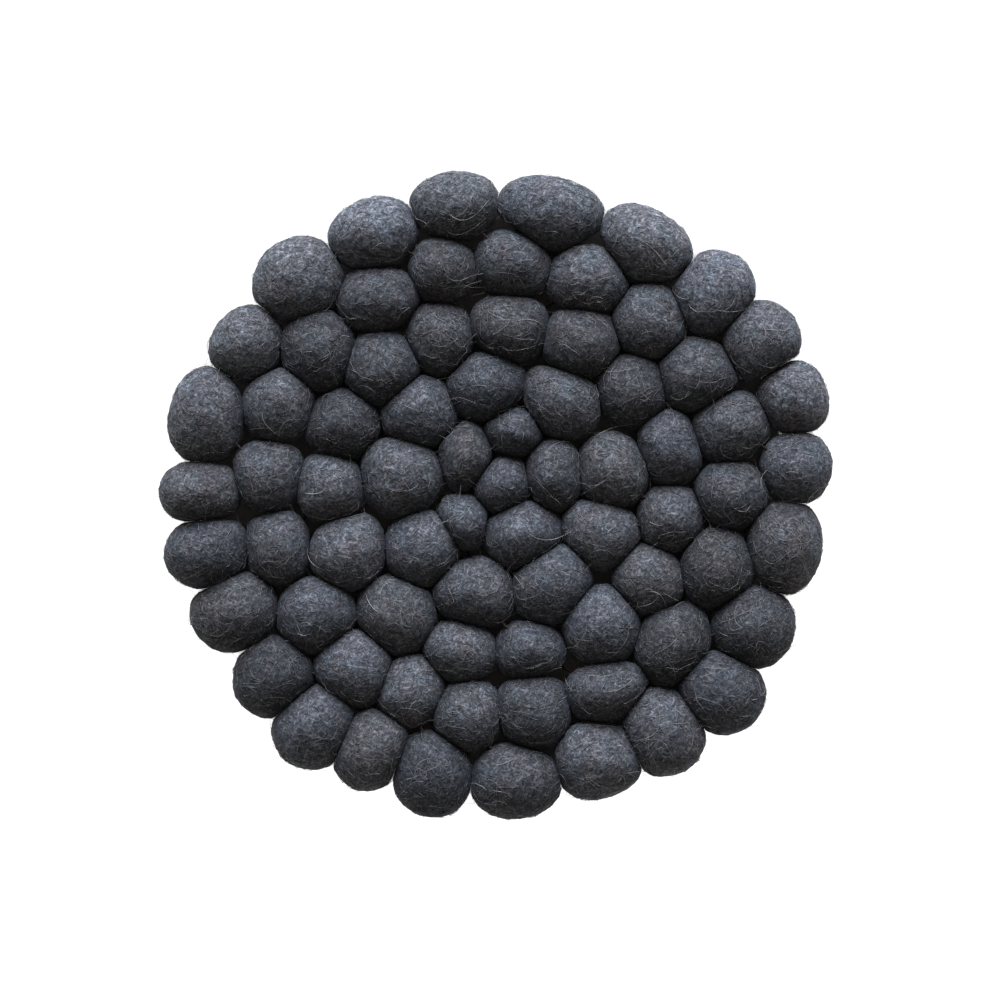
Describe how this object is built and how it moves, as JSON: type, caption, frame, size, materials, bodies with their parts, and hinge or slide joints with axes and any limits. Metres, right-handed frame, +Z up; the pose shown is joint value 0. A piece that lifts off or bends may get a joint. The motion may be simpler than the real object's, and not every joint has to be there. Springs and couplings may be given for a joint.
{
  "type": "felt ball trivet",
  "caption": "Round flat mat of charcoal felted wool balls, threaded in rounds and laced to each other, that keeps a hot pot off the table.",
  "frame": {"origin": "centre of the mat's bounding box, on the table that it lies on", "axes": "+Z up out of the table, +X along the mat's slightly longer width, +Y along its other width"},
  "size_m": [0.2031, 0.1958, 0.0208],
  "materials": {
    "charcoal_felt": "matt felted wool with short surface fibres",
    "binding_thread": "dull twisted sewing thread"
  },
  "bodies": {
    "root": {"outer_ball_01": "charcoal_felt", "outer_ball_02": "charcoal_felt", "outer_ball_03": "charcoal_felt", "outer_ball_04": "charcoal_felt", "outer_ball_05": "charcoal_felt", "outer_ball_06": "charcoal_felt", "outer_ball_07": "charcoal_felt", "outer_ball_08": "charcoal_felt", "outer_ball_09": "charcoal_felt", "outer_ball_10": "charcoal_felt", "outer_ball_11": "charcoal_felt", "outer_ball_12": "charcoal_felt", "outer_ball_13": "charcoal_felt", "outer_ball_14": "charcoal_felt", "outer_ball_15": "charcoal_felt", "outer_ball_16": "charcoal_felt", "outer_ball_17": "charcoal_felt", "outer_ball_18": "charcoal_felt", "outer_ball_19": "charcoal_felt", "outer_ball_20": "charcoal_felt", "outer_ball_21": "charcoal_felt", "outer_ball_22": "charcoal_felt", "outer_ball_23": "charcoal_felt", "outer_ball_24": "charcoal_felt", "second_ball_01": "charcoal_felt", "second_ball_02": "charcoal_felt", "second_ball_03": "charcoal_felt", "second_ball_04": "charcoal_felt", "second_ball_05": "charcoal_felt", "second_ball_06": "charcoal_felt", "second_ball_07": "charcoal_felt", "second_ball_08": "charcoal_felt", "second_ball_09": "charcoal_felt", "second_ball_10": "charcoal_felt", "second_ball_11": "charcoal_felt", "second_ball_12": "charcoal_felt", "second_ball_13": "charcoal_felt", "second_ball_14": "charcoal_felt", "second_ball_15": "charcoal_felt", "second_ball_16": "charcoal_felt", "second_ball_17": "charcoal_felt", "second_ball_18": "charcoal_felt", "second_ball_19": "charcoal_felt", "second_ball_20": "charcoal_felt", "third_string": "charcoal_felt", "fourth_string": "charcoal_felt", "heart_ball_01": "charcoal_felt", "heart_ball_02": "charcoal_felt", "heart_ball_03": "charcoal_felt", "heart_ball_04": "charcoal_felt", "heart_ball_05": "charcoal_felt", "core_ball": "charcoal_felt", "outer_thread": "binding_thread", "second_thread": "binding_thread", "heart_thread": "binding_thread", "outer_lacing": "binding_thread", "middle_lacing": "binding_thread", "inner_lacing": "binding_thread", "heart_lacing": "binding_thread"}
  },
  "joints": []
}
